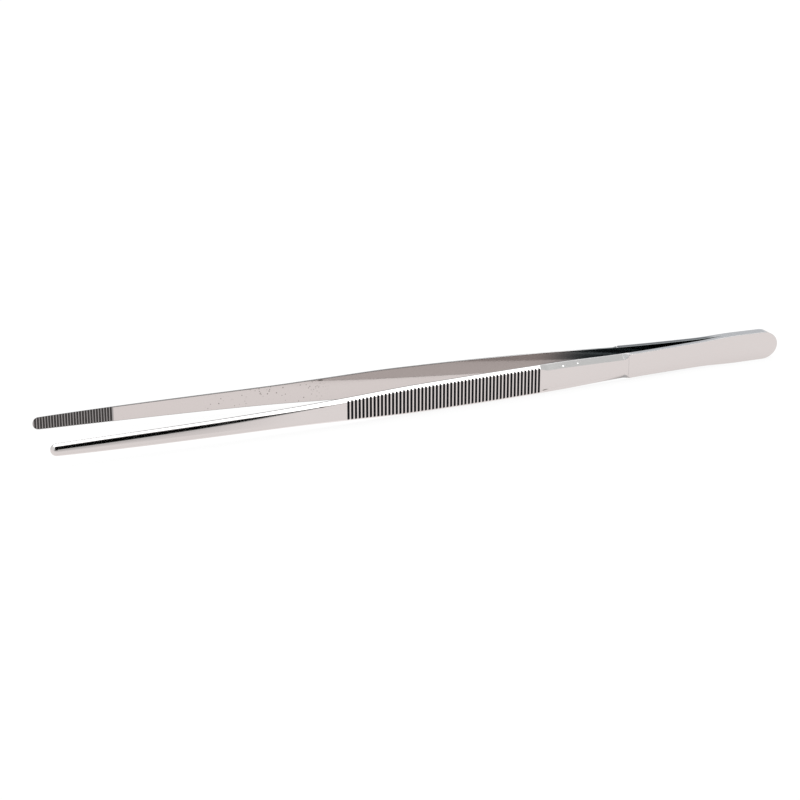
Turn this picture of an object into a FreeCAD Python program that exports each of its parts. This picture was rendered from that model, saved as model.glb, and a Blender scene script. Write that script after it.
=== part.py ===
import FreeCAD, Part
import math
import os

# Long dressing forceps: two forged steel arms laid face to face and welded at the heel.
# X runs along the forceps, with the heel at +X and the jaws at -X. Y runs across the gap, with the
# weld plane at y = 0. Z runs up along the width of the arms, which rest on their lower edges.
# Every length is in millimetres, and "from_heel" is measured from the end of the heel to the jaws.

# Lengths along the forceps
overall_length = 300.0
weld_length = 24.0
heel_straight_end = 18.0
heel_bend_start = 13.0
step_from_heel = 69.0
bevel_run_out = 2.0
plain_pad_length = 40.0
bevel_change_length = 3.0
grip_border = 0.8
plain_shank_length = 28.8
nose_length = 2.3

# The gap between the arms, and the rise of the curve's inner control points as shares of the gap
tip_half_gap = 14.17
splay_shares = (0.342, 0.637, 0.871, 1.057)

# Widths of the arm, along Z
heel_width = 11.5
waist_width = 9.8
grip_width = 11.46
shoulder_width = 8.72
shank_width = 6.33
tip_width = 4.86

# Thicknesses of the arm, across Y, and how far the pad of the handle stands above the flat strip
heel_thickness = 2.4
pad_step_height = 0.12
grip_thickness = 2.5
shank_thickness = 2.45
tip_thickness = 2.28

# Flat lands left along the inner edges, and the bevels between land and outer face
waist_land = 0.55
grip_land = 0.75
shank_land = 0.87
tip_land = 0.7
first_bevel = 0.25
waist_bevel = 1.88
grip_bevel = 1.12
shank_bevel = 0.9
tip_bevel = 0.85

# Corners between bevel and outer face: nearly sharp at the shoulder, round on the shank
shoulder_corner_radius = 0.15
shank_corner_radius = 2.5
tip_corner_radius = 3.0

# Cross grooves on the outer face of the grip
groove_count = 54
groove_pitch = 1.501
groove_depth = 0.38
groove_mouth = 1.0
groove_floor = 0.6

# Cross serrations on the inner face of the jaw
serration_count = 28
serration_pitch = 1.04
first_serration_from_tip = 1.05
serration_depth = 0.4
serration_mouth = 0.92
serration_floor = 0.14

# How far a cutter or a blank runs on past a face, and the spare width that the side outline trims off
overrun = 2.0
spare_width = 0.5
# The nose is lofted through sections at these turns of a quarter circle
nose_turns_deg = (0.0, 20.0, 38.0, 54.0, 68.0, 78.0, 85.0)

# Places and sizes that follow from those above
pad_thickness = heel_thickness + pad_step_height
pad_start = step_from_heel + bevel_run_out
first_groove_from_heel = step_from_heel + plain_pad_length
grip_from_heel = first_groove_from_heel - grip_border
groove_span = (groove_count - 1) * groove_pitch
shoulder_from_heel = first_groove_from_heel + groove_span + grip_border
grip_widest_from_heel = first_groove_from_heel + 0.22 * groove_span
waist_from_heel = heel_straight_end + 0.4 * (grip_widest_from_heel - heel_straight_end)
nose_start = overall_length - nose_length
jaw_from_heel = overall_length - first_serration_from_tip - (serration_count + 1) * serration_pitch
shank_from_heel = jaw_from_heel - plain_shank_length


def x_at(from_heel):
    """X of a place given by its distance from the end of the heel."""
    return overall_length / 2.0 - from_heel


def point(from_heel, y, z=0.0):
    return FreeCAD.Vector(x_at(from_heel), y, z)


def between(first, second, share):
    """The value that lies a share of the way from the first size to the second."""
    return first + (second - first) * share


def line(start, end):
    return Part.LineSegment(start, end).toShape()


def bezier(points):
    curve = Part.BezierCurve()
    curve.setPoles(points)
    return curve.toShape()


def gap_poles():
    """Control points, as distance from the heel and half gap, of the curve of the inner face."""
    shares = (0.0,) + splay_shares + (1.0,)
    last = len(shares) - 1
    return [(between(weld_length, overall_length, index / last), tip_half_gap * share)
            for index, share in enumerate(shares)]


def half_gap(from_heel):
    """Distance from the weld plane to the inner face, ahead of the weld."""
    t = (from_heel - weld_length) / (overall_length - weld_length)
    heights = [pole[1] for pole in gap_poles()]
    while len(heights) > 1:
        heights = [between(low, high, t) for low, high in zip(heights, heights[1:])]
    return heights[0]


def gap_slope(from_heel):
    """How fast the half gap grows with the distance from the heel."""
    reach = groove_pitch / 2.0
    return (half_gap(from_heel + reach) - half_gap(from_heel - reach)) / (2.0 * reach)


def section(from_heel, width, thickness, land, bevel, radius=0.0, reach=overrun, spare=spare_width):
    """Closed outline of the blank at one place: two bevels and the outer face, with round corners if any.

    The bevels run on past the width by some spare height, which the side outline trims off later.
    """
    x = x_at(from_heel)
    inner = half_gap(from_heel)
    outer = inner + thickness
    half = width / 2.0
    corner_z = half - bevel
    lean = (thickness - land) / bevel
    top_z = half + spare
    top_y = inner + land - lean * spare
    back = inner - reach

    def at(y, z):
        return FreeCAD.Vector(x, y, z)

    outline = [at(back, -top_z), at(back, top_z), at(top_y, top_z)]
    if radius == 0.0:
        outline += [at(outer, corner_z), at(outer, -corner_z), at(top_y, -top_z)]
        return Part.makePolygon(outline + outline[:1])

    # The round corner touches the bevel and the outer face at the same distance from where they meet
    half_angle = (math.pi - math.atan(lean)) / 2.0
    tangent = min(radius / math.tan(half_angle), 0.9 * corner_z)
    radius = tangent * math.tan(half_angle)
    slant = math.hypot(lean, 1.0)
    bevel_end = (outer - tangent * lean / slant, corner_z + tangent / slant)
    face_end = (outer, corner_z - tangent)
    centre = (outer - radius, face_end[1])
    turn = math.atan(lean) / 2.0
    middle = (centre[0] + radius * math.cos(turn), centre[1] + radius * math.sin(turn))

    def corner(side):
        ends = [at(place[0], side * place[1]) for place in (bevel_end, middle, face_end)]
        return Part.Arc(*ends).toShape()

    edges = [
        line(outline[0], outline[1]),
        line(outline[1], outline[2]),
        line(outline[2], at(*bevel_end)),
        corner(1.0),
        line(at(*face_end), at(face_end[0], -face_end[1])),
        corner(-1.0),
        line(at(bevel_end[0], -bevel_end[1]), at(top_y, -top_z)),
        line(at(top_y, -top_z), outline[0]),
    ]
    return Part.Wire(Part.__sortEdges__(edges))


def width_points():
    """Places and half widths that the side outline passes through, from the heel to the nose."""
    return [
        (between(heel_straight_end, waist_from_heel, 0.42), between(waist_width, heel_width, 0.22) / 2.0),
        (waist_from_heel, waist_width / 2.0),
        (between(waist_from_heel, grip_widest_from_heel, 0.62),
         between(waist_width, grip_width, 0.9) / 2.0),
        (grip_widest_from_heel, grip_width / 2.0),
        (between(grip_widest_from_heel, shoulder_from_heel, 0.53),
         between(grip_width, shoulder_width, 0.2) / 2.0),
        (shoulder_from_heel, shoulder_width / 2.0),
        (between(shoulder_from_heel, shank_from_heel, 0.4), between(shoulder_width, shank_width, 0.585) / 2.0),
        (shank_from_heel, shank_width / 2.0),
        (between(shank_from_heel, nose_start, 0.5), between(shank_width, tip_width, 0.42) / 2.0),
        (nose_start, tip_width / 2.0),
    ]


def width_curve(side):
    """Smooth edge of the side outline, from the straight part of the heel to the start of the nose."""
    start = (heel_straight_end, heel_width / 2.0)
    places = [point(from_heel, 0.0, side * half) for from_heel, half in [start] + width_points()]
    taper = (tip_width - shank_width) / 2.0 / (nose_start - shank_from_heel)
    curve = Part.BSplineCurve()
    curve.interpolate(
        Points=places,
        InitialTangent=FreeCAD.Vector(-1, 0, 0),
        FinalTangent=FreeCAD.Vector(-1, 0, side * taper),
    )
    return curve


def width_at(from_heel):
    """Full width of the side outline at one place."""
    plane = Part.Plane(point(from_heel, 0.0), FreeCAD.Vector(1, 0, 0))
    crossing = width_curve(1.0).intersect(plane)[0][0]
    return 2.0 * crossing.Z


def side_prism():
    """Everything inside the side outline, as a prism across the forceps."""
    half_heel = heel_width / 2.0
    heel_end = [point(half_heel, 0.0, -half_heel), point(0.0, 0.0), point(half_heel, 0.0, half_heel)]
    edges = [
        Part.Arc(*heel_end).toShape(),
        line(point(half_heel, 0.0, half_heel), point(heel_straight_end, 0.0, half_heel)),
        width_curve(1.0).toShape(),
        line(point(nose_start, 0.0, tip_width / 2.0), point(nose_start, 0.0, -tip_width / 2.0)),
        width_curve(-1.0).toShape(),
        line(point(heel_straight_end, 0.0, -half_heel), point(half_heel, 0.0, -half_heel)),
    ]
    face = Part.Face(Part.Wire(Part.__sortEdges__(edges)))
    face.translate(FreeCAD.Vector(0, -overrun, 0))
    return face.extrude(FreeCAD.Vector(0, tip_half_gap + shank_thickness + 3.0 * overrun, 0))


def heel_strip():
    """Flat strip from the heel's end to the step, bent away from the weld plane ahead of the weld."""
    step_outer = half_gap(step_from_heel) + heel_thickness
    bend = (step_from_heel - heel_bend_start) / 3.0
    edges = [
        line(point(-overrun, -overrun), point(-overrun, heel_thickness)),
        line(point(-overrun, heel_thickness), point(heel_bend_start, heel_thickness)),
        bezier([
            point(heel_bend_start, heel_thickness),
            point(heel_bend_start + bend, heel_thickness),
            point(step_from_heel - bend, step_outer - gap_slope(step_from_heel) * bend),
            point(step_from_heel, step_outer),
        ]),
        line(point(step_from_heel, step_outer), point(step_from_heel, -overrun)),
        line(point(step_from_heel, -overrun), point(-overrun, -overrun)),
    ]
    face = Part.Face(Part.Wire(edges))
    face.translate(FreeCAD.Vector(0, 0, -heel_width))
    return face.extrude(FreeCAD.Vector(0, 0, 2.0 * heel_width))


def run_out():
    """Short stretch after the step, where the bevels open from nothing to their full depth."""
    wires = [
        section(step_from_heel, waist_width, pad_thickness, pad_thickness - first_bevel, first_bevel),
        section(pad_start, width_at(pad_start), pad_thickness, waist_land, waist_bevel),
    ]
    return Part.makeLoft(wires, True, True)


def handle_rows():
    """Place, thickness, land and bevel of each section of the handle, whose facets run straight between."""
    wide_end = grip_from_heel - bevel_change_length
    return [
        (pad_start, pad_thickness, waist_land, waist_bevel),
        (between(pad_start, wide_end, 0.5), pad_thickness, waist_land, waist_bevel),
        (wide_end, between(pad_thickness, grip_thickness, 0.5), waist_land, waist_bevel),
        (grip_from_heel, grip_thickness, grip_land, grip_bevel),
        (grip_widest_from_heel, grip_thickness, grip_land, grip_bevel),
        (between(grip_widest_from_heel, shoulder_from_heel, 0.5), grip_thickness, grip_land, grip_bevel),
        (shoulder_from_heel, grip_thickness, grip_land, grip_bevel),
    ]


def handle():
    """The bevelled handle, from the end of the run-out to the shoulder."""
    wires = [section(place, width_at(place), *sizes) for place, *sizes in handle_rows()]
    return Part.makeLoft(wires, True, True)


def outer_face_y(from_heel):
    """Y of the handle's outer face, on the straight line between the sections either side."""
    seats = [(place, half_gap(place) + thickness) for place, thickness, *_ in handle_rows()]
    for (start, first), (end, last) in zip(seats, seats[1:]):
        if from_heel <= end:
            break
    return between(first, last, (from_heel - start) / (end - start))


def jaw_sizes():
    """Thickness, land, bevel and corner radius at the last serration, on the way from shank to tip."""
    share = (jaw_from_heel - shank_from_heel) / (nose_start - shank_from_heel)
    return (
        between(shank_thickness, tip_thickness, share), between(shank_land, tip_land, share),
        between(shank_bevel, tip_bevel, share), between(shank_corner_radius, tip_corner_radius, share),
    )


def shank():
    """From the shoulder to the jaw, where the corners between bevel and face grow round."""
    def place_at(share):
        return between(shoulder_from_heel, shank_from_heel, share)

    def radius_at(share):
        return between(shoulder_corner_radius, shank_corner_radius, share)

    rows = [
        # place, thickness, land, bevel, corner radius
        (shoulder_from_heel, grip_thickness, grip_land, grip_bevel, shoulder_corner_radius),
        (place_at(0.2), between(grip_thickness, shank_thickness, 0.4), between(grip_land, shank_land, 0.5),
         between(grip_bevel, shank_bevel, 0.4), radius_at(0.3)),
        (place_at(0.4), between(grip_thickness, shank_thickness, 0.8), between(grip_land, shank_land, 0.75),
         between(grip_bevel, shank_bevel, 0.8), radius_at(0.65)),
        (place_at(0.7), shank_thickness, between(grip_land, shank_land, 0.9), shank_bevel, radius_at(0.88)),
        (shank_from_heel, shank_thickness, shank_land, shank_bevel, shank_corner_radius),
        (jaw_from_heel, *jaw_sizes()),
    ]
    wires = [section(place, width_at(place), *sizes) for place, *sizes in rows]
    return Part.makeLoft(wires, True, True)


def jaw():
    """The straight, evenly tapered stretch that carries the serrations."""
    wires = [
        section(jaw_from_heel, width_at(jaw_from_heel), *jaw_sizes()),
        section(nose_start, tip_width, tip_thickness, tip_land, tip_bevel, tip_corner_radius),
    ]
    return Part.makeLoft(wires, True, True)


def nose():
    """Round end of the jaw: sections that shrink towards the inner face as a quarter ellipse does."""
    wires = []
    for turn in nose_turns_deg:
        angle = math.radians(turn)
        size = math.cos(angle)
        place = nose_start + nose_length * math.sin(angle)
        wires.append(section(
            place, tip_width * size, tip_thickness * size, tip_land * size, tip_bevel * size,
            tip_corner_radius * size, overrun, 0.0,
        ))
    return Part.makeLoft(wires, True, True)


def gap_cutter():
    """Everything on the inner side of the arm: the weld plane, then the curve of the gap."""
    far = -4.0 * overrun
    past_tip = overall_length + 2.0 * overrun
    edges = [
        line(point(-overrun, far), point(-overrun, 0.0)),
        line(point(-overrun, 0.0), point(weld_length, 0.0)),
        bezier([point(from_heel, y) for from_heel, y in gap_poles()]),
        line(point(overall_length, tip_half_gap), point(past_tip, tip_half_gap)),
        line(point(past_tip, tip_half_gap), point(past_tip, far)),
        line(point(past_tip, far), point(-overrun, far)),
    ]
    face = Part.Face(Part.Wire(edges))
    face.translate(FreeCAD.Vector(0, 0, -heel_width))
    return face.extrude(FreeCAD.Vector(0, 0, 2.0 * heel_width))


def cross_cutter(from_heel, face_y, slope, inward, depth, mouth, floor):
    """Bar with sloping sides, along Z, that sinks one groove of a given depth into a face."""
    flare = (mouth - floor) / 2.0
    profile = [
        (-mouth / 2.0 - flare, -depth),
        (mouth / 2.0 + flare, -depth),
        (floor / 2.0, depth),
        (-floor / 2.0, depth),
    ]
    corners = [FreeCAD.Vector(-along, inward * across, 0.0) for along, across in profile]
    bar = Part.Face(Part.makePolygon(corners + corners[:1])).extrude(FreeCAD.Vector(0, 0, 2.0 * heel_width))
    bar.rotate(FreeCAD.Vector(0, 0, 0), FreeCAD.Vector(0, 0, 1), -math.degrees(math.atan(slope)))
    bar.translate(FreeCAD.Vector(x_at(from_heel), face_y, -heel_width))
    return bar


def grip_grooves():
    """Cutters for the grooves across the outer face of the handle."""
    bars = []
    for index in range(groove_count):
        from_heel = first_groove_from_heel + index * groove_pitch
        bars.append(cross_cutter(
            from_heel, outer_face_y(from_heel), gap_slope(from_heel), -1.0,
            groove_depth, groove_mouth, groove_floor,
        ))
    return bars


def jaw_serrations(shift):
    """Cutters for the serrations across the inner face of the jaw, moved along it by a shift."""
    bars = []
    for index in range(serration_count):
        from_tip = first_serration_from_tip + shift + index * serration_pitch
        from_heel = overall_length - from_tip
        bars.append(cross_cutter(
            from_heel, half_gap(from_heel), gap_slope(from_heel), 1.0,
            serration_depth, serration_mouth, serration_floor,
        ))
    return bars


def make_arm(serration_shift):
    """One arm on the +Y side of the weld plane, with its middle plane at z = 0."""
    outlined = heel_strip().fuse([run_out(), handle(), shank(), jaw()]).common(side_prism())
    blank = outlined.fuse(nose()).cut(gap_cutter())
    cutters = grip_grooves() + jaw_serrations(serration_shift)
    return blank.cut(Part.makeCompound(cutters))


os.makedirs("parts", exist_ok=True)
lift_to_floor = FreeCAD.Vector(0, 0, heel_width / 2.0)

# The far arm, and the near arm as its mirror image with serrations that fall between the far ones
rear_arm = make_arm(0.0)
rear_arm.translate(lift_to_floor)
front_arm = make_arm(serration_pitch / 2.0)
front_arm = front_arm.mirror(FreeCAD.Vector(0, 0, 0), FreeCAD.Vector(0, 1, 0))
front_arm.translate(lift_to_floor)

for name, shape in (("rear_arm", rear_arm), ("front_arm", front_arm)):
    solids = shape.Solids
    print(name, "solids", len(solids), "valid", shape.isValid(), "volume", round(shape.Volume, 2))
    if len(solids) != 1:
        raise RuntimeError(name + " is not one solid")
    solids[0].exportStep("parts/" + name + ".step")
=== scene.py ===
import cmath
import math

import bmesh
import bpy
import numpy as np
from mathutils import Matrix, Vector


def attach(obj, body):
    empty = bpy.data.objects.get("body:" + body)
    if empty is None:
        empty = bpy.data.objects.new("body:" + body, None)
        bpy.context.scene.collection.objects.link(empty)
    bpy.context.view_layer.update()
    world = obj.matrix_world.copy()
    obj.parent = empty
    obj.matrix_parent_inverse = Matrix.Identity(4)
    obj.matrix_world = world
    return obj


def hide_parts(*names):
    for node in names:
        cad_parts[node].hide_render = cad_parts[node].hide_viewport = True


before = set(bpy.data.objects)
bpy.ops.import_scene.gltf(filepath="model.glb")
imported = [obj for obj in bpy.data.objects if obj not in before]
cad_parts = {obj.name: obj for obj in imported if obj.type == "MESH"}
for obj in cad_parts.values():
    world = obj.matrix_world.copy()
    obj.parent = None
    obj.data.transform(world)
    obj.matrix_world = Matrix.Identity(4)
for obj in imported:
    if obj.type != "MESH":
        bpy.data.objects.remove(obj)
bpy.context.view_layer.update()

# The blank of an arm.
# One bar of stainless steel, forged and ground: a flat spring strip at the heel, a handle with wide
# bevels along its back, a round-backed shank and a jaw with a bullet nose.

# Sizes in millimetres: places run from the end of the heel, and heights from the weld plane outwards
mm = 0.001
overall_length = 300.0
weld_length = 24.0
middle_height = 5.75
heel_half_width = 5.6
heel_reach = 6.7
heel_thickness = 2.39
heel_bend_start = 13.0
step_place = 69.0
run_out_start = 68.3
run_out_end = 71.2
nose_length = 2.3
# Heel and nose end just inside the solids
heel_end = 0.02
nose_start = overall_length - 0.03 - nose_length
heel_edge_round = 0.1
inner_edge_round = 0.15
land_edge_round = 0.12

# Half gap at evenly spaced control points, from the end of the weld to the tip
splay_heights = [0.0, 4.85, 9.03, 12.34, 14.98, 14.17]
# place, half width
side_outline = [
    (heel_end + heel_reach, heel_half_width), (18.0, 5.66), (36.2, 5.0), (61.4, 4.81),
    (101.8, 5.64), (126.5, 5.73), (160.2, 5.46), (190.1, 4.36), (210.0, 3.66),
    (240.0, 3.14), (268.8, 2.8), (290.0, 2.47), (nose_start, 2.3),
]
# place, thickness, land, bevel, radius of the corner between bevel and outer face
back_shape = [
    (run_out_end, 2.51, 0.55, 1.88, 0.15), (105.2, 2.51, 0.55, 1.88, 0.15),
    (108.4, 2.5, 0.75, 1.12, 0.15), (126.5, 2.5, 0.75, 1.12, 0.15), (190.1, 2.5, 0.75, 1.12, 0.3),
    (200.0, 2.48, 0.76, 1.05, 0.6), (210.0, 2.46, 0.78, 1.0, 1.0), (218.0, 2.45, 0.8, 0.95, 1.4),
    (225.0, 2.44, 0.82, 0.92, 1.9), (231.0, 2.43, 0.84, 0.9, 2.3), (244.0, 2.41, 0.82, 0.9, 2.6),
    (259.0, 2.37, 0.76, 0.9, 2.9), (270.0, 2.32, 0.7, 0.92, 3.1), (285.0, 2.27, 0.62, 0.9, 3.2),
    (nose_start, 2.24, 0.58, 0.8, 3.0),
]


def smooth_through(rows, column):
    """A smooth rule through one column of a table against its first, with no overshoot between rows."""
    places = np.array([row[0] for row in rows])
    values = np.array([row[column] for row in rows])
    steps = np.diff(places)
    rises = np.diff(values) / steps
    slopes = np.zeros(len(places))
    slopes[0] = rises[0]
    slopes[-1] = rises[-1]
    for index in range(1, len(places) - 1):
        before, after = rises[index - 1], rises[index]
        if before * after > 0.0:
            slopes[index] = 2.0 * before * after / (before + after)

    def value_at(place):
        index = int(np.clip(np.searchsorted(places, place) - 1, 0, len(steps) - 1))
        t = np.clip((place - places[index]) / steps[index], 0.0, 1.0)
        ease = t * t * (3.0 - 2.0 * t)
        leave = t * (1.0 - t) ** 2 * steps[index] * slopes[index]
        arrive = t * t * (t - 1.0) * steps[index] * slopes[index + 1]
        return float(values[index] + (values[index + 1] - values[index]) * ease + leave + arrive)

    return value_at


half_width_at = smooth_through(side_outline, 1)
thickness_at, land_at, bevel_at, corner_radius_at = [smooth_through(back_shape, n) for n in (1, 2, 3, 4)]


def inner_face_at(place):
    """Distance from the weld plane to the inner face: none in the weld, then a long easy curve."""
    if place <= weld_length:
        return 0.0
    t = (place - weld_length) / (overall_length - weld_length)
    heights = splay_heights
    while len(heights) > 1:
        heights = [low + (high - low) * t for low, high in zip(heights, heights[1:])]
    return heights[0]


def strip_face_at(place):
    """Outer face of the flat heel strip, which bends away from the weld plane."""
    if place <= heel_bend_start:
        return heel_thickness
    reach = step_place - heel_bend_start
    t = (place - heel_bend_start) / reach
    end = inner_face_at(step_place) + heel_thickness
    slope = inner_face_at(step_place + 0.5) - inner_face_at(step_place - 0.5)
    u = 1.0 - t
    start_part = (u ** 3 + 3.0 * u * u * t) * heel_thickness
    return start_part + 3.0 * u * t * t * (end - slope * reach / 3.0) + t ** 3 * end


def back_sizes_at(place):
    """Thickness, land, bevel and corner radius of the section at one place."""
    if place > run_out_end:
        return thickness_at(place), land_at(place), bevel_at(place), corner_radius_at(place)
    thickness = back_shape[0][1]
    if place < step_place:
        thickness = strip_face_at(place) - inner_face_at(place)
    # The grinding wheel that cut the bevels ran out past the step, into the edges of the strip
    t = min(1.0, max(0.0, (place - run_out_start) / (run_out_end - run_out_start)))
    opened = math.sin(t * math.pi / 2.0)
    shallow = thickness - heel_edge_round
    land = shallow + (back_shape[0][2] - shallow) * opened
    bevel = heel_edge_round + (back_shape[0][3] - heel_edge_round) * opened
    return thickness, land, bevel, heel_edge_round


def rounded_corner(before, corner, after, radius, steps, shares=(0.45, 0.45)):
    """Points of the arc that rounds one corner of an outline given as complex numbers.

    The shares are how much of the side before and the side after it the arc may take up.
    """
    into = (corner - before) / abs(corner - before)
    out = (after - corner) / abs(after - corner)
    turn = cmath.phase(out / into)
    opening = math.tan(abs(turn) / 2.0)
    room_before = shares[0] * abs(corner - before)
    room_after = shares[1] * abs(after - corner)
    reach = min(radius * opening, room_before, room_after)
    start = corner - into * reach
    centre = start + into * complex(0.0, math.copysign(reach / opening, turn))
    return [centre + (start - centre) * cmath.exp(1j * turn * step / steps) for step in range(steps + 1)]


def along_side(start, end, shares):
    """Points on the straight side between two corners of a section."""
    return [start + (end - start) * share for share in shares]


def half_section(half_width, thickness, land, bevel, radius, inner_round):
    """One half of a section, from the middle of the inner face round to the middle of the outer one.

    Each point is a height over the inner face with, as its imaginary part, the distance in from the
    side, and comes with its share of the land's finish.
    """
    middle = complex(0.0, half_width)
    side = complex(0.0, 0.0)
    land_end = complex(land, 0.0)
    bevel_end = complex(thickness, bevel)
    back = complex(thickness, half_width)
    inner_edge = rounded_corner(middle, side, land_end, inner_round, 3)
    land_edge = rounded_corner(side, land_end, bevel_end, land_edge_round, 3)
    back_edge = rounded_corner(land_end, bevel_end, back, radius, 10, (0.9, 0.99))
    outline = along_side(middle, inner_edge[0], (0.0, 0.5, 0.85, 0.985))
    outline += inner_edge
    outline += along_side(inner_edge[-1], land_edge[0], (0.04, 0.5, 0.96))
    outline += land_edge
    outline += along_side(land_edge[-1], back_edge[0], (0.04, 0.3, 0.6, 0.85, 0.96))
    outline += back_edge
    outline += along_side(back_edge[-1], back, (0.03, 0.3, 0.65, 1.0))
    # None on the inner face, all on the land and its two edges, and none on the bevel and the back
    land_share = [0.0] * 4 + [0.6] + [1.0] * 8 + [0.7, 0.3] + [0.0] * 20
    return list(zip(outline, land_share))


def whole_ring(place, half_outline, half_width, turn=None):
    """Both halves of a section, a row for each point of it.

    A row holds place, y, z, height over the inner face, depth under the outer face and land share.
    With a turn, the section stands square to the round end of the heel instead of across the arm.
    """
    inner = inner_face_at(place)
    outer_height = half_outline[-1][0].real
    ring = []
    for side, outline in ((1.0, half_outline), (-1.0, half_outline[-2:0:-1])):
        for spot, land_share in outline:
            height = spot.real
            across = half_width - spot.imag
            along = place
            if turn is not None:
                along = heel_end + heel_reach * (1.0 - across / heel_half_width * math.cos(turn))
                across = across * math.sin(turn)
            ring.append((along, inner + height, side * across, height, outer_height - height, land_share))
    return ring


def spaced(start, end, pitch):
    """Evenly spaced places from the start up to, but without, the end."""
    count = max(1, round((end - start) / pitch))
    return [start + (end - start) * index / count for index in range(count)]


# Cross grooves on the outer face of the handle, and serrations on the inner face of the jaws
first_groove_place = 109.0
groove_pitch = 1.501
groove_count = 54
groove_depth = 0.38
groove_mouth = 1.16
groove_floor = 0.46
serration_pitch = 1.04
serration_count = 28
first_serration_from_tip = 1.05
serration_depth = 0.4
serration_mouth = 0.96
serration_floor = 0.12
groove_slices = 14
serration_slices = 12
last_groove_place = first_groove_place + (groove_count - 1) * groove_pitch
jaw_place = overall_length - first_serration_from_tip - (serration_count + 1) * serration_pitch

# Rings lie close together where the shape changes fast, and further apart on the plain stretches
step_half_length = 0.03
bevel_narrows_place = 104.8
grip_start = first_groove_place - groove_pitch / 2.0
grip_end = last_groove_place + groove_pitch
places = spaced(heel_end + heel_reach, run_out_start, 1.5)
places += spaced(run_out_start, step_place - step_half_length, 0.15)
places += [step_place - step_half_length, step_place + step_half_length]
places += spaced(step_place + 0.1, run_out_end + 0.4, 0.15)
places += spaced(run_out_end + 0.4, bevel_narrows_place, 1.5)
places += spaced(bevel_narrows_place, grip_start, 0.25)
places += spaced(grip_start, grip_end, groove_pitch / groove_slices)
places += spaced(grip_end, jaw_place, 1.0)
places += spaced(jaw_place, nose_start, serration_pitch / serration_slices)

rings = []
heel_rings = 18
weld_edge_round = 0.002
heel_outline = half_section(heel_half_width, *back_sizes_at(0.0), weld_edge_round)
for step in range(heel_rings):
    turn = math.radians(90.0 / heel_rings * step)
    rings.append(whole_ring(0.0, heel_outline, heel_half_width, turn=turn))
for place in places:
    half_width = half_width_at(place)
    # The two arms are ground flush over the weld, so their inner edges are sharp there
    inner_round = inner_edge_round * min(1.0, max(0.02, (place - weld_length) / 10.0))
    outline = half_section(half_width, *back_sizes_at(place), inner_round)
    rings.append(whole_ring(place, outline, half_width))
# The nose closes over a quarter turn and stops a degree short of a point
nose_rings = 29
nose_ring_turn = 3.2
nose_sizes = back_sizes_at(nose_start)
for step in range(nose_rings):
    turn = math.radians(min(nose_ring_turn * step, 89.0))
    size = math.cos(turn)
    half_width = half_width_at(nose_start) * size
    outline = half_section(half_width, *[value * size for value in nose_sizes], inner_edge_round * size)
    rings.append(whole_ring(nose_start + nose_length * math.sin(turn), outline, half_width))


def blank_mesh(name):
    """The smooth arm at +Y of the weld plane, with how far each point lies from its two broad faces."""
    around = len(rings[0])
    rows = [row for ring in rings for row in ring]
    points = []
    for row in rows:
        points.append(((overall_length / 2.0 - row[0]) * mm, row[1] * mm, (row[2] + middle_height) * mm))
    faces = []
    for ring_index in range(len(rings) - 1):
        for index in range(around):
            here = ring_index * around
            after = (index + 1) % around
            faces.append((here + index, here + after, here + around + after, here + around + index))
    faces.append([(len(rings) - 1) * around + index for index in range(around)])
    mesh = bpy.data.meshes.new(name)
    mesh.from_pydata(points, [], faces)
    for label, column, unit in (("over_inner", 3, mm), ("under_outer", 4, mm), ("on_land", 5, 1.0)):
        layer = mesh.attributes.new(label, "FLOAT", "POINT")
        layer.data.foreach_set("value", [row[column] * unit for row in rows])
    work = bmesh.new()
    work.from_mesh(mesh)
    bmesh.ops.remove_doubles(work, verts=work.verts, dist=0.0005 * mm)
    bmesh.ops.dissolve_degenerate(work, edges=work.edges, dist=0.0002 * mm)
    bmesh.ops.recalc_face_normals(work, faces=work.faces)
    for face in work.faces:
        face.smooth = True
    work.to_mesh(mesh)
    work.free()
    return mesh


# The finish of the steel.
# Ground along its length and buffed bright, with a fine grain, pits on the inner faces, dings and stains.
# Painted shade darkens the grooves, the serrations, the inner faces, most towards the weld, and the rear
# arm's land ahead of the weld. The lands towards the jaws are rougher and painted dark as a reflection, the
# jaw faces are darker, the satin end of the bevel is painted darker, a painted line marks the step, and
# painted highlights whiten the dings and the rear land's outer edge.
steel_colour = (0.63, 0.612, 0.605, 1.0)
# Painted shade: the inner faces are a darker copy of the steel, since less light reaches them between the
# arms.
inner_shaded_colour = (0.59, 0.565, 0.556, 1.0)
# Painted dark reflection: the lands towards the jaws get a dark colour for the dark line they mirror; they
# are also rougher.
land_dark_reflection_colour = (0.19, 0.183, 0.18, 1.0)
jaw_colour = (0.31, 0.305, 0.305, 1.0)
# Painted light and shade: a line of its own tone along the step's edge.
step_colour = (0.56, 0.545, 0.54, 1.0)
# Painted shade: the inner faces darken towards the weld, where the gap between the arms narrows.
gap_shade_colour = (0.34, 0.37, 0.38, 1.0)
# Painted shade: the rear arm's land darkens to near black ahead of the weld.
weld_shade_colour = (0.03, 0.036, 0.04, 1.0)
# The satin end of the bevel's cut is really rougher, and its darker colour is a painted reflection of the
# grey it mirrors.
run_out_painted_grey = (0.47, 0.475, 0.475, 1.0)
# Painted shade: the dark floors of the jaw's serrations.
serration_shade_colour = (0.085, 0.082, 0.08, 1.0)
# Painted highlights: near-white for the glints of the dings and the rear land's outer edge.
highlight_colour = (0.97, 0.97, 0.97, 1.0)
stain_colour = (0.2, 0.19, 0.18, 1.0)
# Painted shade: the near-black floors of the grip grooves.
groove_shade_colour = (0.012, 0.013, 0.015, 1.0)
steel = bpy.data.materials.new("buffed_stainless_steel")
steel.use_nodes = True
tree = steel.node_tree
tree.nodes.clear()


def node(kind, label, **values):
    """A node of the material in hand, under a plain label."""
    made = tree.nodes.new(kind)
    made.label = label
    made.name = label
    for key, value in values.items():
        setattr(made, key, value)
    return made


def link(source, output, target, socket):
    tree.links.new(source.outputs[output], target.inputs[socket])


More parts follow.
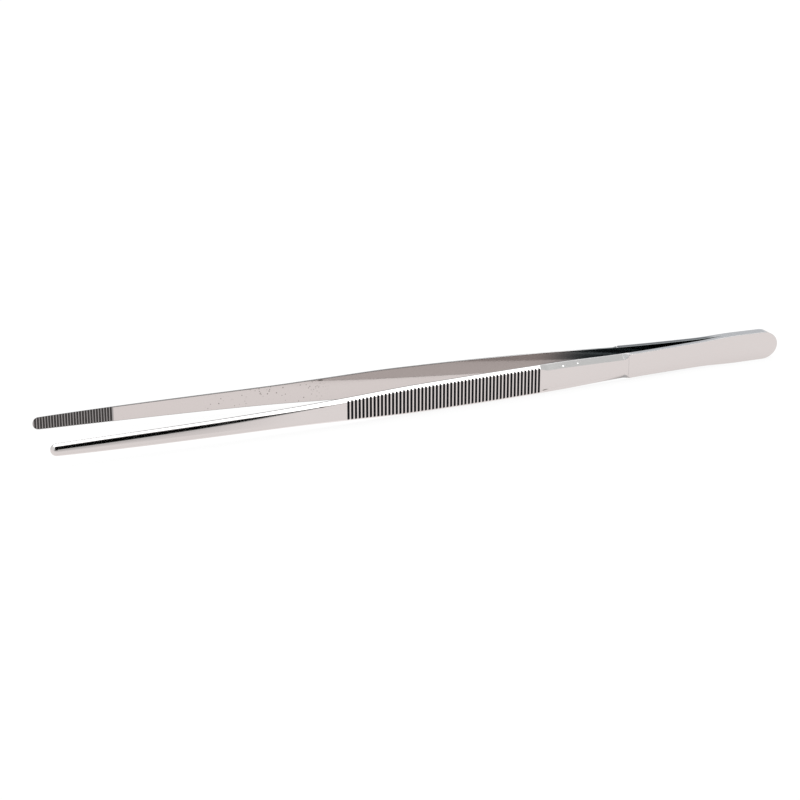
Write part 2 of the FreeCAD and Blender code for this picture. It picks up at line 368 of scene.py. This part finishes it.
def maths(operation, label, first, second=None, third=None):
    """A maths node whose inputs are numbers or (node, output) pairs."""
    made = node("ShaderNodeMath", label, operation=operation)
    for index, value in enumerate((first, second, third)):
        if isinstance(value, tuple):
            link(value[0], value[1], made, index)
        elif value is not None:
            made.inputs[index].default_value = value
    return made


def ramp(label, source, output, start, end, low, high):
    """A smooth step of a value between two ends."""
    made = node("ShaderNodeMapRange", label, interpolation_type="SMOOTHSTEP", clamp=True)
    for socket, value in (("From Min", start), ("From Max", end), ("To Min", low), ("To Max", high)):
        made.inputs[socket].default_value = value
    link(source, output, made, "Value")
    return made


shader = node("ShaderNodeBsdfPrincipled", "steel surface")
shader.inputs["Metallic"].default_value = 1.0
output = node("ShaderNodeOutputMaterial", "output")
link(shader, "BSDF", output, "Surface")
coordinates = node("ShaderNodeTexCoord", "place on the arm")

grain_space = node("ShaderNodeMapping", "grain runs along the arm")
grain_space.inputs["Scale"].default_value = (0.03, 1.0, 1.0)
link(coordinates, "Object", grain_space, "Vector")
grain = node("ShaderNodeTexNoise", "grinding grain")
grain.inputs["Scale"].default_value = 5200.0
grain.inputs["Detail"].default_value = 3.0
link(grain_space, "Vector", grain, "Vector")
smudge = node("ShaderNodeTexNoise", "uneven buffing")
smudge.inputs["Scale"].default_value = 130.0
smudge.inputs["Detail"].default_value = 3.0
link(coordinates, "Object", smudge, "Vector")

sunk = node("ShaderNodeAttribute", "depth in a groove", attribute_name="sunk")
in_groove = ramp("share of a groove's depth", sunk, "Fac", 0.1, 0.6, 0.0, 1.0)
over_inner = node("ShaderNodeAttribute", "height over the inner face", attribute_name="over_inner")
on_inner = ramp("inner face", over_inner, "Fac", 0.02 * mm, 0.1 * mm, 1.0, 0.0)

on_land = node("ShaderNodeAttribute", "share of the land", attribute_name="on_land")
split = node("ShaderNodeSeparateXYZ", "place")
link(coordinates, "Object", split, "Vector")
# Lands towards the jaws are rougher, and painted dark as a reflection.
land_reach = ramp("rough, painted-dark lands ahead of the waist", split, "X", 0.0, 60.0 * mm, 1.0, 0.0)
rough_land_dark_reflection = maths("MULTIPLY", "rough lands, painted dark", (on_land, "Fac"), (land_reach, "Result"))
in_jaw = ramp("in the jaw", split, "X", -120.2 * mm, -119.8 * mm, 1.0, 0.0)
step_x = (overall_length / 2.0 - step_place) * mm
weld_x = (overall_length / 2.0 - weld_length) * mm
past_step = maths("SUBTRACT", "past the step", (split, "X"), step_x)
step_off = maths("ABSOLUTE", "distance from the step", (past_step, "Value"))
# Painted light and shade: the step's edge is drawn as a line, lighter than the satin end of the cut and
# darker than the bright steel.
step_line = ramp("line of the step", step_off, "Value", 0.1 * mm, 0.3 * mm, 1.0, 0.0)
off_inner = maths("SUBTRACT", "off the inner face", 1.0, (on_inner, "Result"))
step_line = maths("MULTIPLY", "line of the step outside", (step_line, "Result"), (off_inner, "Value"))

pit_space = node("ShaderNodeTexVoronoi", "scattered pits")
pit_space.inputs["Scale"].default_value = 1000.0
link(coordinates, "Object", pit_space, "Vector")
pit_spot = ramp("pit", pit_space, "Distance", 0.16, 0.34, 0.9, 0.0)
pit_pick = ramp("few of the pits", pit_space, "Color", 0.5, 0.56, 0.0, 1.0)
pit_patch = node("ShaderNodeTexNoise", "where pits gather")
pit_patch.inputs["Scale"].default_value = 90.0
link(coordinates, "Object", pit_patch, "Vector")
pit_crowd = ramp("pits gather", pit_patch, "Fac", 0.4, 0.5, 0.0, 1.0)
pits_start = ramp("ahead of the grip", split, "X", -50.0 * mm, -34.0 * mm, 1.0, 0.0)
pits_end = ramp("behind the serrations", split, "X", -112.0 * mm, -85.0 * mm, 0.15, 1.0)
pits = maths("MULTIPLY", "picked pits", (pit_spot, "Result"), (pit_pick, "Result"))
pits = maths("MULTIPLY", "gathered pits", (pits, "Value"), (pit_crowd, "Result"))
pits = maths("MULTIPLY", "pits up to the grip", (pits, "Value"), (pits_start, "Result"))
pits = maths("MULTIPLY", "pits up to the serrations", (pits, "Value"), (pits_end, "Result"))
pits = maths("MULTIPLY", "pits on inner faces", (pits, "Value"), (on_inner, "Result"))


def mark(label, place, radii):
    """How much of a small oval mark covers a spot; place and radii are x, y, z in millimetres."""
    space = node("ShaderNodeMapping", label + " space")
    space.inputs["Scale"].default_value = [1.0 / (radius * mm) for radius in radii]
    space.inputs["Location"].default_value = [-at / radius for at, radius in zip(place, radii)]
    link(coordinates, "Object", space, "Vector")
    length = node("ShaderNodeVectorMath", label + " distance", operation="LENGTH")
    link(space, "Vector", length, 0)
    return ramp(label, length, "Value", 0.45, 1.0, 1.0, 0.0)


# Two dings: real marks, rougher, with painted glints in near-white.
ding_one = mark("ding nearer the grip", (51.75, -7.9, 10.06), (0.6, 0.8, 0.34))
ding_two = mark("ding nearer the step", (58.25, -7.2, 10.14), (0.5, 0.8, 0.26))
dings = maths("MAXIMUM", "dings", (ding_one, "Result"), (ding_two, "Result"))
stain_low = mark("stain on the lower edge", (43.8, -9.0, 1.8), (1.7, 0.9, 0.4))
stain_shank = mark("stain on the shank", (-49.0, -14.7, 8.7), (1.8, 0.9, 0.3))
nick = mark("nick of the rear arm", (-40.3, 11.7, 9.6), (1.4, 0.6, 0.4))
stains = maths("MAXIMUM", "stains of the front arm", (stain_low, "Result"), (stain_shank, "Result"))
stains = maths("MAXIMUM", "stains and nick", (stains, "Value"), (nick, "Result"))
stains = maths("MAXIMUM", "stains and pits", (stains, "Value"), (pits, "Value"))

grain_rough = maths("MULTIPLY_ADD", "grain roughness", (grain, "Fac"), 0.06, 0.055)
smudge_rough = maths("MULTIPLY_ADD", "buffing roughness", (smudge, "Fac"), 0.07, (grain_rough, "Value"))
face_rough = maths("MULTIPLY_ADD", "smoother inside", (on_inner, "Result"), -0.06, (smudge_rough, "Value"))
groove_rough = maths("MULTIPLY_ADD", "groove roughness", (in_groove, "Result"), 0.3, (face_rough, "Value"))
ding_rough = maths("MULTIPLY_ADD", "ding roughness", (dings, "Value"), 0.35, (groove_rough, "Value"))
land_rough = maths("MULTIPLY_ADD", "land roughness", (rough_land_dark_reflection, "Value"), 0.22, (ding_rough, "Value"))

colour = node("ShaderNodeMix", "outer or inner face", data_type="RGBA")
colour.inputs["A"].default_value = steel_colour
colour.inputs["B"].default_value = inner_shaded_colour
link(on_inner, "Result", colour, "Factor")
# Painted shade in the floors of the grip grooves and the jaw's serrations.
recess_shade = node("ShaderNodeMix", "painted shade in grip or jaw", data_type="RGBA")
recess_shade.inputs["A"].default_value = groove_shade_colour
recess_shade.inputs["B"].default_value = serration_shade_colour
link(in_jaw, "Result", recess_shade, "Factor")
# The jaw's inner face is darker than the rest of the inner face.
jaw_face = maths("MULTIPLY", "jaw's inner face", (in_jaw, "Result"), (on_inner, "Result"))
# Painted shade on the inner faces where the gap narrows towards the weld.
inner_gap_shade = ramp("painted shade towards the weld", split, "X", 50.0 * mm, 76.0 * mm, 0.0, 1.0)
inner_gap_shade = maths("MULTIPLY", "painted shade on inner faces", (inner_gap_shade, "Result"), (on_inner, "Result"))
# Painted shade: a near-black band along the rear arm's land up to the weld, with a painted highlight along
# its outer edge.
land_shade_start = ramp("land shade starts", split, "X", 60.0 * mm, 74.0 * mm, 0.0, 1.0)
land_shade_end = ramp("land shade ends at the weld", split, "X", weld_x - 7.5 * mm, weld_x - 2.5 * mm, 0.9, 0.0)
land_shade_side = ramp("on the rear arm", split, "Y", 0.2 * mm, 0.6 * mm, 0.0, 1.0)
land_shade = maths("MULTIPLY", "land shade along the land", (land_shade_start, "Result"), (land_shade_end, "Result"))
land_shade = maths("MULTIPLY", "land shade of the rear arm", (land_shade, "Value"), (land_shade_side, "Result"))
land_shade = maths("MULTIPLY", "land shade on the land itself", (land_shade, "Value"), (on_land, "Fac"))
land_shade_inside = ramp("land towards the gap", over_inner, "Fac", 1.3 * mm, 2.0 * mm, 1.0, 0.0)
edge_outside = ramp("outer edge of the land", over_inner, "Fac", 1.7 * mm, 2.2 * mm, 0.0, 1.0)
land_edge_highlight = maths("MULTIPLY", "painted highlight on the outer edge", (land_shade, "Value"), (edge_outside, "Result"))
land_shade = maths("MULTIPLY", "land shade by the gap", (land_shade, "Value"), (land_shade_inside, "Result"))
under_outer = node("ShaderNodeAttribute", "depth under the outer face", attribute_name="under_outer")
below_face = ramp("below the outer face", under_outer, "Fac", 0.01 * mm, 0.05 * mm, 0.0, 1.0)
# Where the wheel ran out the bevel is satin: real roughness, with a painted darker tone.
wheel_start = ramp("wheel lifts off", split, "X", step_x - 2.6 * mm, step_x - 1.8 * mm, 0.0, 1.0)
wheel_end = ramp("wheel clear of the strip", split, "X", step_x + 0.6 * mm, step_x + 1.2 * mm, 1.0, 0.0)
wheel_mark = maths("MULTIPLY", "end of the wheel's cut", (wheel_start, "Result"), (wheel_end, "Result"))
wheel_mark = maths("MULTIPLY", "satin end of the bevel", (wheel_mark, "Value"), (below_face, "Result"))
wheel_mark = maths("MULTIPLY", "satin end outside", (wheel_mark, "Value"), (off_inner, "Value"))
layers = [
    ("satin end of the cut, painted darker", wheel_mark, run_out_painted_grey),
    ("painted dark reflection on the land", rough_land_dark_reflection, land_dark_reflection_colour),
    ("painted shade ahead of the weld", land_shade, weld_shade_colour),
    ("painted highlight of the land's edge", land_edge_highlight, highlight_colour),
    ("darker jaw face", jaw_face, jaw_colour),
    ("painted shade at the narrow end of the gap", inner_gap_shade, gap_shade_colour),
    ("step", step_line, step_colour),
    ("painted glints of the dings", dings, highlight_colour),
    ("stains", stains, stain_colour),
]
for label, factor, shade in layers:
    layer = node("ShaderNodeMix", label, data_type="RGBA")
    layer.inputs["B"].default_value = shade
    link(colour, "Result", layer, "A")
    link(factor, "Value", layer, "Factor")
    colour = layer
grooved = node("ShaderNodeMix", "painted groove shade over steel", data_type="RGBA")
link(colour, "Result", grooved, "A")
link(recess_shade, "Result", grooved, "B")
link(in_groove, "Result", grooved, "Factor")
link(grooved, "Result", shader, "Base Color")

wheel_rough = maths("MULTIPLY_ADD", "satin roughness", (wheel_mark, "Value"), 0.5, (land_rough, "Value"))
link(wheel_rough, "Value", shader, "Roughness")

grain_bump = node("ShaderNodeBump", "grain relief")
grain_bump.inputs["Strength"].default_value = 0.12
grain_bump.inputs["Distance"].default_value = 0.01 * mm
link(grain, "Fac", grain_bump, "Height")
link(grain_bump, "Normal", shader, "Normal")


# Rows of cross grooves.
# Grip grooves are milled across the back of the handle and run out in its bevels, and serrations are cut
# across the jaw's inner face. Each point sinks to the floor of its groove, unless it already lies lower.
def groove_tree(name, face_distance, direction):
    """Geometry nodes that sink a row of grooves into the face that an attribute measures from."""
    group = bpy.data.node_groups.new(name, "GeometryNodeTree")
    sockets = [
        ("Blank", "NodeSocketGeometry"), ("First Groove", "NodeSocketFloat"), ("Pitch", "NodeSocketFloat"),
        ("Count", "NodeSocketInt"), ("Depth", "NodeSocketFloat"), ("Half Mouth", "NodeSocketFloat"),
        ("Half Floor", "NodeSocketFloat"), ("Finish", "NodeSocketMaterial"),
    ]
    for label, kind in sockets:
        group.interface.new_socket(label, in_out="INPUT", socket_type=kind)
    group.interface.new_socket("Grooved", in_out="OUTPUT", socket_type="NodeSocketGeometry")
    nodes, links = group.nodes, group.links
    entry = nodes.new("NodeGroupInput")
    leave = nodes.new("NodeGroupOutput")

    def sum_of(operation, first, second=None):
        made = nodes.new("ShaderNodeMath")
        made.operation = operation
        for index, value in enumerate((first, second)):
            if isinstance(value, float):
                made.inputs[index].default_value = value
            elif value is not None:
                links.new(value, made.inputs[index])
        return made.outputs[0]

    position = nodes.new("GeometryNodeInputPosition")
    split = nodes.new("ShaderNodeSeparateXYZ")
    links.new(position.outputs[0], split.inputs[0])
    along = sum_of("SUBTRACT", entry.outputs["First Groove"], split.outputs["X"])
    turns = sum_of("DIVIDE", along, entry.outputs["Pitch"])
    last = sum_of("SUBTRACT", entry.outputs["Count"], 1.0)
    nearest = sum_of("MINIMUM", sum_of("MAXIMUM", sum_of("ROUND", turns), 0.0), last)
    off = sum_of("MULTIPLY", sum_of("ABSOLUTE", sum_of("SUBTRACT", turns, nearest)), entry.outputs["Pitch"])

    profile = nodes.new("ShaderNodeMapRange")
    profile.interpolation_type = "SMOOTHSTEP"
    links.new(off, profile.inputs["Value"])
    links.new(entry.outputs["Half Floor"], profile.inputs["From Min"])
    links.new(entry.outputs["Half Mouth"], profile.inputs["From Max"])
    profile.inputs["To Min"].default_value = 1.0
    profile.inputs["To Max"].default_value = 0.0
    floor_depth = sum_of("MULTIPLY", profile.outputs["Result"], entry.outputs["Depth"])

    distance = nodes.new("GeometryNodeInputNamedAttribute")
    distance.data_type = "FLOAT"
    distance.inputs["Name"].default_value = face_distance
    push = sum_of("MAXIMUM", sum_of("SUBTRACT", floor_depth, distance.outputs["Attribute"]), 0.0)
    offset = nodes.new("ShaderNodeCombineXYZ")
    links.new(sum_of("MULTIPLY", push, direction), offset.inputs["Y"])

    earlier = nodes.new("GeometryNodeInputNamedAttribute")
    earlier.data_type = "FLOAT"
    earlier.inputs["Name"].default_value = "sunk"
    shown = sum_of("MULTIPLY", profile.outputs["Result"], sum_of("GREATER_THAN", push, 0.0))
    store = nodes.new("GeometryNodeStoreNamedAttribute")
    store.data_type = "FLOAT"
    store.domain = "POINT"
    store.inputs["Name"].default_value = "sunk"
    links.new(entry.outputs["Blank"], store.inputs["Geometry"])
    links.new(sum_of("MAXIMUM", earlier.outputs["Attribute"], shown), store.inputs["Value"])
    move = nodes.new("GeometryNodeSetPosition")
    links.new(store.outputs["Geometry"], move.inputs["Geometry"])
    links.new(offset.outputs["Vector"], move.inputs["Offset"])
    whole = nodes.new("GeometryNodeRealizeInstances")
    links.new(move.outputs["Geometry"], whole.inputs["Geometry"])
    finish = nodes.new("GeometryNodeSetMaterial")
    links.new(whole.outputs["Geometry"], finish.inputs["Geometry"])
    links.new(entry.outputs["Finish"], finish.inputs["Material"])
    links.new(finish.outputs["Geometry"], leave.inputs["Grooved"])
    return group


grip_tree = groove_tree("grip_grooves", "under_outer", -1.0)
jaw_tree = groove_tree("jaw_serrations", "over_inner", 1.0)


def set_input(modifier, label, value):
    """Sets one named input of a tree on its modifier, by the socket's identifier."""
    for item in modifier.node_group.interface.items_tree:
        if item.item_type == "SOCKET" and item.in_out == "INPUT" and item.name == label:
            modifier[item.identifier] = value


def grooved_arm(name, serration_shift, mirrored):
    """One finished arm: the blank with both rows of grooves pressed in, mirrored for the near side."""
    arm = bpy.data.objects.new(name, blank_mesh(name + "_blank"))
    bpy.context.scene.collection.objects.link(arm)
    first_groove = overall_length / 2.0 - first_groove_place
    serration_at_tip = first_serration_from_tip - overall_length / 2.0 + serration_shift
    last_serration = serration_at_tip + (serration_count - 1) * serration_pitch
    rows = [
        (grip_tree, first_groove, groove_pitch, groove_count, groove_depth, groove_mouth, groove_floor),
        (jaw_tree, last_serration, serration_pitch, serration_count, serration_depth, serration_mouth,
         serration_floor),
    ]
    for group, first, pitch, count, depth, mouth, floor in rows:
        row = arm.modifiers.new(group.name, "NODES")
        row.node_group = group
        set_input(row, "First Groove", first * mm)
        set_input(row, "Pitch", pitch * mm)
        set_input(row, "Count", count)
        set_input(row, "Depth", depth * mm)
        set_input(row, "Half Mouth", mouth / 2.0 * mm)
        set_input(row, "Half Floor", floor / 2.0 * mm)
        set_input(row, "Finish", steel)
    evaluated = arm.evaluated_get(bpy.context.evaluated_depsgraph_get())
    finished = bpy.data.meshes.new_from_object(evaluated)
    arm.modifiers.clear()
    arm.data = finished
    if mirrored:
        finished.transform(Matrix.Scale(-1.0, 4, Vector((0.0, 1.0, 0.0))))
        finished.flip_normals()
    return arm


# The far arm.
# It lies on the +Y side of the weld, with its serrated face towards the camera.
rear_arm = grooved_arm("rear_arm_steel", 0.0, False)
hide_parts("rear_arm")
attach(rear_arm, "root")

# The near arm.
# It is the far arm's mirror image, welded to it at the heel, with serrations that fall between the other's.
front_arm = grooved_arm("front_arm_steel", serration_pitch / 2.0, True)
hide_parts("front_arm")
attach(front_arm, "root")

# The table.
# A wide white sheet, on which the arms leave a faint shadow. What the steel mirrors of it is a warm white
# with painted shade: darker in the narrow gap between the arms and beyond the jaws, and a little darker
# far from the forceps.
floor_mesh = bpy.data.meshes.new("table")
reach = 3.0
corners = [(-reach, -reach, 0), (reach, -reach, 0), (reach, reach, 0), (-reach, reach, 0)]
floor_mesh.from_pydata(corners, [], [(0, 1, 2, 3)])
floor = bpy.data.objects.new("table", floor_mesh)
bpy.context.scene.collection.objects.link(floor)
sheet = bpy.data.materials.new("white_sheet")
sheet.use_nodes = True
tree = sheet.node_tree
tree.nodes.clear()
paper = node("ShaderNodeBsdfDiffuse", "paper")
paper.inputs["Color"].default_value = (0.8, 0.8, 0.8, 1.0)
rays = node("ShaderNodeLightPath", "ray kind")
spot = node("ShaderNodeTexCoord", "place on the sheet")
spot_split = node("ShaderNodeSeparateXYZ", "across the sheet")
link(spot, "Object", spot_split, "Vector")
aside = maths("ABSOLUTE", "distance from the forceps", (spot_split, "Y"))
by_jaws = ramp("beside the jaws", spot_split, "X", -95.0 * mm, -45.0 * mm, 1.0, 0.0)
away = ramp("away from the jaws", aside, "Value", 21.0 * mm, 36.0 * mm, 0.0, 0.27)
far_off = ramp("far from the forceps", aside, "Value", 36.0 * mm, 60.0 * mm, 1.04, 0.9)
fall = maths("MULTIPLY", "darker beyond the jaws", (by_jaws, "Result"), (away, "Result"))
lit = maths("SUBTRACT", "brightness of the sheet", (far_off, "Result"), (fall, "Value"))
slot_start = ramp("painted shade at the narrow end of the gap", spot_split, "X", 48.0 * mm, 80.0 * mm, 0.0, 0.86)
slot_end = ramp("closed by the weld", spot_split, "X", 96.0 * mm, 113.0 * mm, 1.0, 0.0)
along_slot = maths("MULTIPLY", "length of the slot", (slot_start, "Result"), (slot_end, "Result"))
in_slot = ramp("between the arms", aside, "Value", 3.5 * mm, 5.5 * mm, 1.0, 0.0)
shade = maths("MULTIPLY", "shade in the slot", (along_slot, "Value"), (in_slot, "Result"))
open_share = maths("SUBTRACT", "light left", 1.0, (shade, "Value"))
lit = maths("MULTIPLY", "light on the sheet", (lit, "Value"), (open_share, "Value"))
warm = node("ShaderNodeVectorMath", "warm white", operation="SCALE")
warm.inputs[0].default_value = (1.045, 0.985, 0.975)
link(lit, "Value", warm, "Scale")
tone = node("ShaderNodeMix", "plain to the camera, warm in the steel", data_type="RGBA")
tone.inputs["A"].default_value = (1.0, 1.0, 1.0, 1.0)
link(warm, "Vector", tone, "B")
link(rays, "Is Glossy Ray", tone, "Factor")
glow = node("ShaderNodeEmission", "seen white")
link(tone, "Result", glow, "Color")
glow.inputs["Strength"].default_value = 1.0
seen = maths("MAXIMUM", "camera or mirror", (rays, "Is Camera Ray"), (rays, "Is Glossy Ray"))
seen_through = maths("MAXIMUM", "or through glass", (seen, "Value"), (rays, "Is Transmission Ray"))
share = maths("MULTIPLY", "share of white", (seen_through, "Value"), 0.9)
blend = node("ShaderNodeMixShader", "sheet")
link(share, "Value", blend, 0)
link(paper, "BSDF", blend, 1)
link(glow, "Emission", blend, 2)
output = node("ShaderNodeOutputMaterial", "output")
link(blend, "Shader", output, "Surface")
floor_mesh.materials.append(sheet)


# The studio.
# A white room, grey low down before and behind, with a broad soft light overhead. Two black cards draw
# the dark line along the polished shank and jaws, and a grey flag shades the bevels.
def studio_panel(name, centre, width, height, colour, strength):
    """A flat panel that faces the middle of the object and shows only in reflections."""
    mesh = bpy.data.meshes.new(name)
    w, h = width / 2.0, height / 2.0
    mesh.from_pydata([(-w, -h, 0), (w, -h, 0), (w, h, 0), (-w, h, 0)], [], [(0, 1, 2, 3)])
    panel = bpy.data.objects.new(name, mesh)
    panel.location = centre
    panel.rotation_euler = (-Vector(centre)).to_track_quat("Z", "Y").to_euler()
    bpy.context.scene.collection.objects.link(panel)
    paint = bpy.data.materials.new(name)
    paint.use_nodes = True
    nodes = paint.node_tree.nodes
    nodes.clear()
    emission = nodes.new("ShaderNodeEmission")
    emission.inputs["Color"].default_value = colour
    emission.inputs["Strength"].default_value = strength
    surface = nodes.new("ShaderNodeOutputMaterial")
    paint.node_tree.links.new(emission.outputs[0], surface.inputs[0])
    mesh.materials.append(paint)
    panel.visible_camera = False
    panel.visible_diffuse = False
    panel.visible_shadow = False


studio_panel("black_card", (-0.2, -0.75, 0.6), 1.2, 1.0, (0.0, 0.0, 0.0, 1.0), 0.0)
studio_panel("black_card_before_jaws", (-0.42, -0.73, 0.09), 0.86, 0.18, (0.0, 0.0, 0.0, 1.0), 0.0)
studio_panel("grey_front", (0.1, -1.3, 0.16), 2.6, 0.36, (0.74, 0.725, 0.715, 1.0), 1.0)
studio_panel("grey_flag", (0.826, -0.146, 0.899), 0.97, 0.5, (0.8, 0.82, 0.82, 1.0), 1.0)
studio_panel("back_wall", (0.3, 1.6, 0.35), 3.4, 0.9, (0.68, 0.71, 0.745, 1.0), 1.0)

lamp_data = bpy.data.lights.new("overhead_softbox", "AREA")
lamp_data.shape = "RECTANGLE"
lamp_data.size = 3.0
lamp_data.size_y = 2.4
lamp_data.energy = 38.0
lamp = bpy.data.objects.new("overhead_softbox", lamp_data)
lamp.location = (0.2, 0.75, 1.3)
bpy.context.scene.collection.objects.link(lamp)

world = bpy.data.worlds.new("white_room")
bpy.context.scene.world = world
world.use_nodes = True
world.node_tree.nodes["Background"].inputs["Color"].default_value = (1.0, 1.0, 1.0, 1.0)
world.node_tree.nodes["Background"].inputs["Strength"].default_value = 1.0

# The camera.
# It looks from the near side and a little above, with the jaws to the left.
camera_azimuth = math.radians(-21.54)
camera_elevation = math.radians(19.45)
camera_distance = 0.8143
camera_target = Vector((-0.01264, 0.0, 0.00198))
camera_data = bpy.data.cameras.new("camera")
camera_data.lens = 96.75
camera_data.sensor_width = 36.0
camera = bpy.data.objects.new("camera", camera_data)
back = Vector((
    math.sin(camera_azimuth) * math.cos(camera_elevation),
    -math.cos(camera_azimuth) * math.cos(camera_elevation),
    math.sin(camera_elevation),
))
camera.location = camera_target + back * camera_distance
camera.rotation_euler = (-back).to_track_quat("-Z", "Y").to_euler()
bpy.context.scene.collection.objects.link(camera)
bpy.context.scene.camera = camera
bpy.context.scene.view_settings.view_transform = "Standard"
